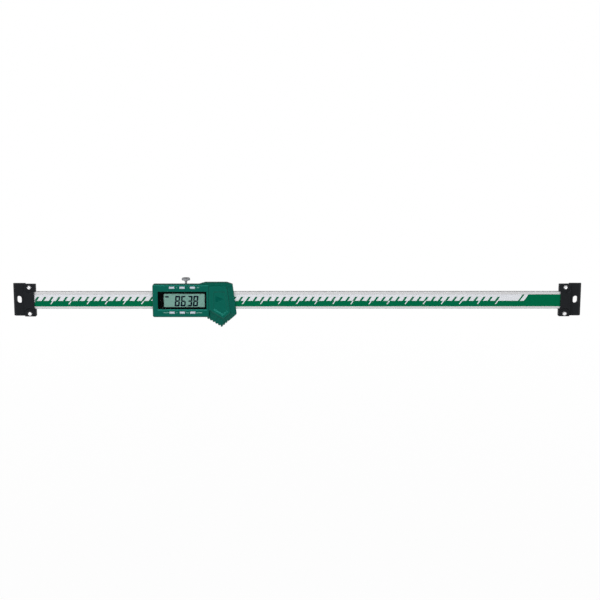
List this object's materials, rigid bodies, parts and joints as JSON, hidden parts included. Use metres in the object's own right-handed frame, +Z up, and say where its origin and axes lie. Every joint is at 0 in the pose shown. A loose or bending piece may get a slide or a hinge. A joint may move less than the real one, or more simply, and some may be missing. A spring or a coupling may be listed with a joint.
{
  "type": "digital linear scale",
  "caption": "Digital linear scale: steel beam clamped between slotted end brackets, with a sliding display head that has buttons, a battery cover and a lock screw.",
  "frame": {"origin": "on the mounting plane behind the brackets, midway between them, on the beam's centre line", "axes": "+X along the beam towards the battery end of the display, +Z up, the display faces -Y and the mounting plane faces +Y"},
  "size_m": [0.5186, 0.015, 0.0444],
  "materials": {
    "beam_steel": "ground and lightly brushed along its length",
    "etched_strip": "etched strip, satin",
    "label_film": "printed film, silver with a green band",
    "bracket_black": "black paint on die-cast metal, fine texture",
    "screw_bright": "bright nickel-plated steel",
    "frame_steel": "ground steel",
    "gib_bronze": "bronze, satin",
    "screw_steel": "zinc-plated steel",
    "lock_screw_steel": "plated steel, knurled",
    "housing_green": "moulded green plastic, fine satin texture",
    "clear_lens": "clear plastic lens",
    "bezel_black": "black print behind the lens",
    "display_glass": "grey-green liquid-crystal display",
    "connector_rubber": "layered connector rubber",
    "circuit_board": "glass-fibre board with green mask",
    "chip_resin": "black resin",
    "keypad_silicone": "pale silicone",
    "button_silver": "silver-coated plastic",
    "battery_steel": "nickel-plated steel can",
    "contact_brass": "gold-plated spring brass",
    "port_black": "black plastic",
    "label_green": "green ink printed on the film",
    "display_ink": "dark segments of the display",
    "legend_print": "pale ink printed on the housing",
    "arrow_paint": "dark green paint in the battery cover's arrow"
  },
  "bodies": {
    "beam_unit": {"beam": "beam_steel", "scale_strip": "etched_strip", "scale_label": "label_film", "left_bracket_base": "bracket_black", "left_bracket_clamp": "bracket_black", "right_bracket_base": "bracket_black", "right_bracket_clamp": "bracket_black", "bracket_screws": "screw_bright"},
    "slider": {"slider_frame": "frame_steel", "gib_strip": "gib_bronze", "gib_screws": "screw_steel", "front_housing": "housing_green", "housing_screws": "screw_steel", "lcd_window": "clear_lens", "lcd_bezel": "bezel_black", "lcd_panel": "display_glass", "zebra_strips": "connector_rubber", "reader_board": "circuit_board", "reader_chip": "chip_resin", "keypad_upper": "keypad_silicone", "keypad_lower": "keypad_silicone", "battery": "battery_steel", "battery_minus_contact": "contact_brass", "battery_plus_contact": "contact_brass", "data_port": "port_black", "port_contacts": "contact_brass"},
    "lock_screw": {"lock_screw": "lock_screw_steel"},
    "battery_cover": {"battery_cover": "housing_green"},
    "port_cover": {"port_cover": "housing_green"},
    "button_upper_1": {"button_upper_1": "button_silver"},
    "button_upper_2": {"button_upper_2": "button_silver"},
    "button_upper_3": {"button_upper_3": "button_silver"},
    "button_lower_1": {"button_lower_1": "button_silver"},
    "button_lower_2": {"button_lower_2": "button_silver"},
    "button_lower_3": {"button_lower_3": "button_silver"}
  },
  "joints": [
    {"name": "slider_travel", "type": "slide", "parent": "beam_unit", "child": "slider", "axis": [1, 0, 0], "range_m": [-0.1065, 0.2935]},
    {"name": "lock_screw_turn", "type": "hinge", "parent": "slider", "child": "lock_screw", "pos_m": [-0.1016, -0.00535, 0.0184], "axis": [0, 0, -1], "range_deg": [0, 180]},
    {"name": "battery_cover_slide", "type": "slide", "parent": "slider", "child": "battery_cover", "axis": [1, 0, 0], "range_m": [0, 0.026]},
    {"name": "port_cover_slide", "type": "slide", "parent": "slider", "child": "port_cover", "axis": [1, 0, 0], "range_m": [0, 0.0074]},
    {"name": "button_upper_1_press", "type": "slide", "parent": "slider", "child": "button_upper_1", "axis": [0, 1, 0], "range_m": [0, 0.0006], "stiffness_N_per_m": 1500, "springref_m": -0.0002, "deforming": ["keypad_upper"]},
    {"name": "button_upper_2_press", "type": "slide", "parent": "slider", "child": "button_upper_2", "axis": [0, 1, 0], "range_m": [0, 0.0006], "stiffness_N_per_m": 1500, "springref_m": -0.0002, "deforming": ["keypad_upper"]},
    {"name": "button_upper_3_press", "type": "slide", "parent": "slider", "child": "button_upper_3", "axis": [0, 1, 0], "range_m": [0, 0.0006], "stiffness_N_per_m": 1500, "springref_m": -0.0002, "deforming": ["keypad_upper"]},
    {"name": "button_lower_1_press", "type": "slide", "parent": "slider", "child": "button_lower_1", "axis": [0, 1, 0], "range_m": [0, 0.0006], "stiffness_N_per_m": 1500, "springref_m": -0.0002, "deforming": ["keypad_lower"]},
    {"name": "button_lower_2_press", "type": "slide", "parent": "slider", "child": "button_lower_2", "axis": [0, 1, 0], "range_m": [0, 0.0006], "stiffness_N_per_m": 1500, "springref_m": -0.0002, "deforming": ["keypad_lower"]},
    {"name": "button_lower_3_press", "type": "slide", "parent": "slider", "child": "button_lower_3", "axis": [0, 1, 0], "range_m": [0, 0.0006], "stiffness_N_per_m": 1500, "springref_m": -0.0002, "deforming": ["keypad_lower"]}
  ]
}
